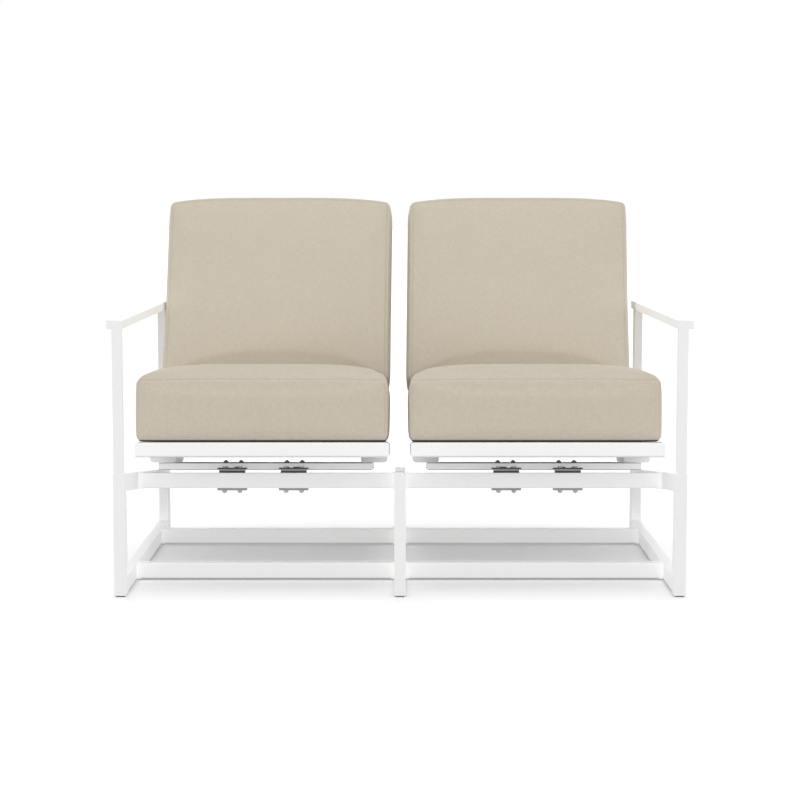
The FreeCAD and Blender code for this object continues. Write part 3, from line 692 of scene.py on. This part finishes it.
def band(work, edge, reach, width=None, steps=1):
    """Draw an edge out in even steps, easing it to a new width, and return the last edge."""
    centre = (edge.verts[0].co + edge.verts[1].co) / 2
    first = edge.calc_length()
    last = width or first
    for number in range(1, steps + 1):
        drawn = bmesh.ops.extrude_edge_only(work, edges=[edge])["geom"]
        verts = [item for item in drawn if isinstance(item, bmesh.types.BMVert)]
        bmesh.ops.translate(work, vec=reach / steps, verts=verts)
        before = edge.calc_length()
        edge = next(item for item in drawn if isinstance(item, bmesh.types.BMEdge)
                    and all(vert in verts for vert in item.verts))
        wanted = first + (last - first) * number / steps
        bmesh.ops.scale(work, vec=(wanted / before, 1.0, 1.0), space=Matrix.Translation(-centre), verts=verts)
    return edge


def finish_spring(name, work, sizes, material):
    """Give flat leaves their thickness and set them under the seat."""
    bmesh.ops.recalc_face_normals(work, faces=work.faces)
    piece = from_bmesh(name, work)
    plate = piece.modifiers.new("Leaf", "SOLIDIFY")
    plate.thickness = sizes.thickness
    plate.offset = 0.0
    eased = piece.modifiers.new("Eased edges", "BEVEL")
    eased.width = sizes.thickness * EASED_SHARE
    eased.segments = 2
    settle(piece)
    piece.data.transform(SEAT_FRAME)
    smooth(piece, CREASE)
    piece.data.materials.clear()
    piece.data.materials.append(material)
    return piece


def make_springs(side_name, side, sizes, material):
    """Two hairpin leaves: the lower leg bends from the clamp, and the upper leg stays under the pan."""
    across = sizes.loop_place - sizes.foot_end
    fall = sizes.foot_rise - sizes.loop_rise
    slope = math.atan2(fall, across) + math.asin(sizes.loop_radius / math.hypot(across, fall))
    centres = [side * sizes.middle + step * sizes.spacing / 2 for step in (-1, 1)]
    leaves = bmesh.new()
    tongues = bmesh.new()
    for centre in centres:
        edge = across_edge(leaves, centre, sizes.width, sizes.foot_start, sizes.foot_rise)
        edge = band(leaves, edge, Vector((0, sizes.foot_end - sizes.foot_start, 0)))
        loop = Vector((centre, sizes.loop_place, sizes.loop_rise))
        meets = loop - sizes.loop_radius * Vector((0, math.sin(slope), math.cos(slope)))
        reach = meets - Vector((centre, sizes.foot_end, sizes.foot_rise))
        shoulder = reach.normalized() * sizes.shoulder
        edge = band(leaves, edge, shoulder, sizes.waist, SHOULDER_STEPS)
        edge = band(leaves, edge, reach - shoulder, steps=LEAF_STEPS)
        bmesh.ops.spin(leaves, geom=[edge, *edge.verts], cent=loop, axis=(1, 0, 0), angle=math.pi + slope,
                       steps=LOOP_STEPS, use_merge=False)
        top = sizes.loop_rise + sizes.loop_radius
        edge = across_edge(tongues, centre, sizes.waist, sizes.loop_place, top)
        run = sizes.tip_start + sizes.tip + sizes.shoulder - sizes.loop_place
        edge = band(tongues, edge, Vector((0, run, 0)), steps=TONGUE_STEPS)
        edge = band(tongues, edge, Vector((0, -sizes.shoulder, 0)), sizes.width, SHOULDER_STEPS)
        band(tongues, edge, Vector((0, -sizes.tip, 0)))
    lower = finish_spring(f"{side_name}_spring_leaves", leaves, sizes, material)
    upper = finish_spring(f"{side_name}_spring_tongues", tongues, sizes, material)
    seat = f"{side_name}_seat"
    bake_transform(lower)
    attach(upper, seat)
    for piece in (lower, upper):
        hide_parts(f"{side_name}_springs")


# Webbing

STRAP_LENGTHWISE = 28  # mesh cells along and across a strap
STRAP_CROSSWISE = 4


def strap(work, sizes, centre, reach, middle, bed, sag):
    """One flat strap across the panel, a little slack between the rails."""
    made = bmesh.ops.create_grid(work, x_segments=STRAP_LENGTHWISE, y_segments=STRAP_CROSSWISE,
                                 size=0.5)["verts"]
    bmesh.ops.scale(work, vec=(2 * reach, sizes.width, 1.0), verts=made)
    bmesh.ops.translate(work, vec=(centre, middle, bed), verts=made)
    for vert in made:
        vert.co.z -= sag * max(0.0, 1 - ((vert.co.x - centre) / sizes.bearing) ** 2)
    faces = list({face for vert in made for face in vert.link_faces})
    bmesh.ops.solidify(work, geom=faces, thickness=-sizes.thickness)


def make_webbing(side_name, side, sizes, material):
    """The straps of one seat and of its back, evenly spread from the first to the last."""
    seat_row = (sizes.seat_first, sizes.seat_last, sizes.seat_count)
    back_row = (sizes.back_first, sizes.back_last, sizes.back_count)
    panels = (
        ("seat", SEAT_FRAME, seat_row, sizes.seat_reach, sizes.seat_bed, sizes.sag),
        ("back", BACK_FRAME, back_row, sizes.back_reach, 0.0, 0.0),
    )
    for panel_name, panel, row, reach, bed, sag in panels:
        work = bmesh.new()
        for middle in np.linspace(*row):
            strap(work, sizes, side * sizes.middle, reach, middle, bed, sag)
        bmesh.ops.recalc_face_normals(work, faces=work.faces)
        piece = from_bmesh(f"{side_name}_{panel_name}_webbing", work)
        piece.data.transform(panel)
        smooth(piece, CREASE)
        piece.data.materials.append(material)
        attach(piece, f"{side_name}_seat")
        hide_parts(f"{side_name}_{panel_name}_straps")


# Stage

FLOOR_REACH = 60.0  # so far that the edges of the floor never show
SENSOR_WIDTH = 36.0  # of the camera, in millimetres


def lit_floor(stage):
    """A pale floor that the camera sees as white wherever no shadow falls, and that throws back less."""
    floor = Finish("Studio floor", roughness=0.9)
    floor.set("Specular IOR Level", 0.0)
    floor.set("Base Color", floor.mix(floor.seen_directly(), rgba(stage.floor_bounce), rgba(stage.floor)))
    return floor.material


def make_floor(stage):
    work = bmesh.new()
    bmesh.ops.create_grid(work, x_segments=1, y_segments=1, size=FLOOR_REACH)
    floor = from_bmesh("Studio_floor", work)
    floor.data.materials.append(lit_floor(stage))
    return floor


def white_room(scene, stage):
    """Even light from all round, which the camera sees as plain white."""
    scene.world = bpy.data.worlds.new("White room")
    room = Shading(scene.world, "Background")
    room.set("Color", WHITE)
    room.set("Strength", room.ramp(room.seen_directly(), 0.0, 1.0, start=stage.room))


def soft_sun(scene, name, strength, turns, spread, blockers=None, receivers=None):
    """Even, soft light from one side.

    Where they are given, the blockers alone shade it and the receivers alone are lit by it.
    """
    lamp = bpy.data.lights.new(name, "SUN")
    lamp.energy = strength * math.pi
    lamp.angle = spread
    thing = bpy.data.objects.new(name, lamp)
    thing.rotation_euler = turns
    thing.light_linking.blocker_collection = blockers
    thing.light_linking.receiver_collection = receivers
    scene.collection.objects.link(thing)


def gather(name, pieces):
    """A collection for light linking, which isn't shown in the scene itself."""
    group = bpy.data.collections.new(name)
    for piece in pieces:
        group.objects.link(piece)
    return group


def set_lights(scene, stage, floor):
    """One light from above for the floor, one for everything, and three low fills that the cushions shade."""
    cushions = gather("Cushions", [piece for piece in scene.objects if piece.name.endswith("_cushion_cover")])
    ground = gather("Ground", [floor])
    soft_sun(scene, "Floor light", stage.floor_light, (-stage.floor_lean, 0.0, 0.0), stage.floor_spread,
             receivers=ground)
    soft_sun(scene, "Top light", stage.top, (-stage.top_lean, 0.0, 0.0), stage.top_spread)
    for number, place in enumerate((-1, 0, 1), 1):
        turns = (math.pi / 2 - stage.fill_height, 0.0, math.pi + place * stage.fill_turn)
        soft_sun(scene, f"Fill {number}", stage.fill, turns, stage.fill_spread, blockers=cushions)


def set_camera(scene, stage):
    lens = bpy.data.cameras.new("Camera")
    lens.lens = stage.lens
    lens.sensor_width = SENSOR_WIDTH
    camera = bpy.data.objects.new("Camera", lens)
    camera.location = (0.0, -stage.distance, stage.height)
    camera.rotation_euler = (math.pi / 2 - stage.dip, 0.0, 0.0)
    scene.collection.objects.link(camera)
    scene.camera = camera


# Operators, one for each piece or group of like pieces

SHADED_PLATE_FINISH = {"clamp_top_plates": "spring_steel"}  # the clamps' top plates take the darker spring steel as painted shade under the pan


class ROCKER_OT_stage(bpy.types.Operator):
    """Make the floor, the light and the camera"""
    bl_idname = "rocker.stage"
    bl_label = "Stage"

    def execute(self, context):
        scene = context.scene
        stage = scene.rocker.stage
        scene.view_settings.view_transform = "Standard"
        floor = make_floor(stage)
        white_room(scene, stage)
        set_lights(scene, stage, floor)
        set_camera(scene, stage)
        return {"FINISHED"}


class ROCKER_OT_finishes(bpy.types.Operator):
    """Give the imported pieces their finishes"""
    bl_idname = "rocker.finishes"
    bl_label = "Finishes"

    def execute(self, context):
        tints = context.scene.rocker.finishes
        materials = {
            "frame_white": powder_coat(tints.coat),
            "glide_black": moulded_plastic(tints.glide),
            "clamp_steel": rolled_steel("Clamp steel", tints.clamp, roughness=0.45, metallic=0.4),
            "bolt_zinc": rolled_steel("Zinc bolts", tints.zinc, roughness=0.32, metallic=0.9),
            # painted reflection: the pan's nuts are a near-black copy of the zinc bolts
            "bolt_dark": rolled_steel("Dark bolt reflection", tints.dark_bolt_reflection, roughness=0.35, metallic=0.5),
            "spring_steel": rolled_steel("Spring steel", tints.spring, roughness=0.42, metallic=0.5),
            "pan_steel": painted_pan(tints.pan, tints.pan_edge_shade),
            "strap_web": woven_strap(tints.webbing),
            "cushion_fabric": fabric(context),
        }
        for part in frame["record"]["subparts"]:
            mesh = frame["nodes"][part["node"]].data
            mesh.materials.clear()
            # painted shade: the clamps' top plates get a darker finish than the rest of the clamps
            finish = SHADED_PLATE_FINISH.get(part["node"], part["material_slot"])
            mesh.materials.append(materials[finish])
        return {"FINISHED"}


class ROCKER_OT_springs(bpy.types.Operator):
    """Make the hairpin springs under both seats"""
    bl_idname = "rocker.springs"
    bl_label = "Springs"

    def execute(self, context):
        for side_name, side in SIDES:
            make_springs(side_name, side, context.scene.rocker.springs, bpy.data.materials["Spring steel"])
        return {"FINISHED"}


class ROCKER_OT_webbing(bpy.types.Operator):
    """Make the straps of both seats and backs"""
    bl_idname = "rocker.webbing"
    bl_label = "Webbing"

    def execute(self, context):
        for side_name, side in SIDES:
            make_webbing(side_name, side, context.scene.rocker.straps, bpy.data.materials["Webbing"])
        return {"FINISHED"}


class ROCKER_OT_seat_cushions(bpy.types.Operator):
    """Make both seat cushions"""
    bl_idname = "rocker.seat_cushions"
    bl_label = "Seat cushions"

    def execute(self, context):
        for side_name, _ in SIDES:
            make_cushion(context, side_name, "seat", context.scene.rocker.seat_cushion, SEAT_FRAME)
        return {"FINISHED"}


class ROCKER_OT_back_cushions(bpy.types.Operator):
    """Make both back cushions"""
    bl_idname = "rocker.back_cushions"
    bl_label = "Back cushions"

    def execute(self, context):
        for side_name, _ in SIDES:
            make_cushion(context, side_name, "back", context.scene.rocker.back_cushion, BACK_FRAME)
        return {"FINISHED"}


OPERATORS = (ROCKER_OT_finishes, ROCKER_OT_springs, ROCKER_OT_webbing, ROCKER_OT_seat_cushions,
             ROCKER_OT_back_cushions, ROCKER_OT_stage)


class ROCKER_PT_panel(bpy.types.Panel):
    """The steps that dress the rocker, in order"""
    bl_idname = "ROCKER_PT_panel"
    bl_label = "Patio rocker"
    bl_space_type = "VIEW_3D"
    bl_region_type = "UI"
    bl_category = "Rocker"

    def draw(self, context):
        for operator in OPERATORS:
            self.layout.operator(operator.bl_idname)


CLASSES = (SeatCushionSizes, BackCushionSizes, CoverSewing, SpringSizes, StrapSizes, Finishes, StageSettings,
           RockerSettings, *OPERATORS, ROCKER_PT_panel)


def register():
    for item in CLASSES:
        bpy.utils.register_class(item)
    bpy.types.Scene.rocker = PointerProperty(type=RockerSettings)


def unregister():
    del bpy.types.Scene.rocker
    for item in reversed(CLASSES):
        bpy.utils.unregister_class(item)


def main():
    register()
    bpy.ops.rocker.finishes()
    bpy.ops.rocker.springs()
    bpy.ops.rocker.webbing()
    bpy.ops.rocker.seat_cushions()
    bpy.ops.rocker.back_cushions()
    bpy.ops.rocker.stage()


if __name__ == "__main__":
    main()
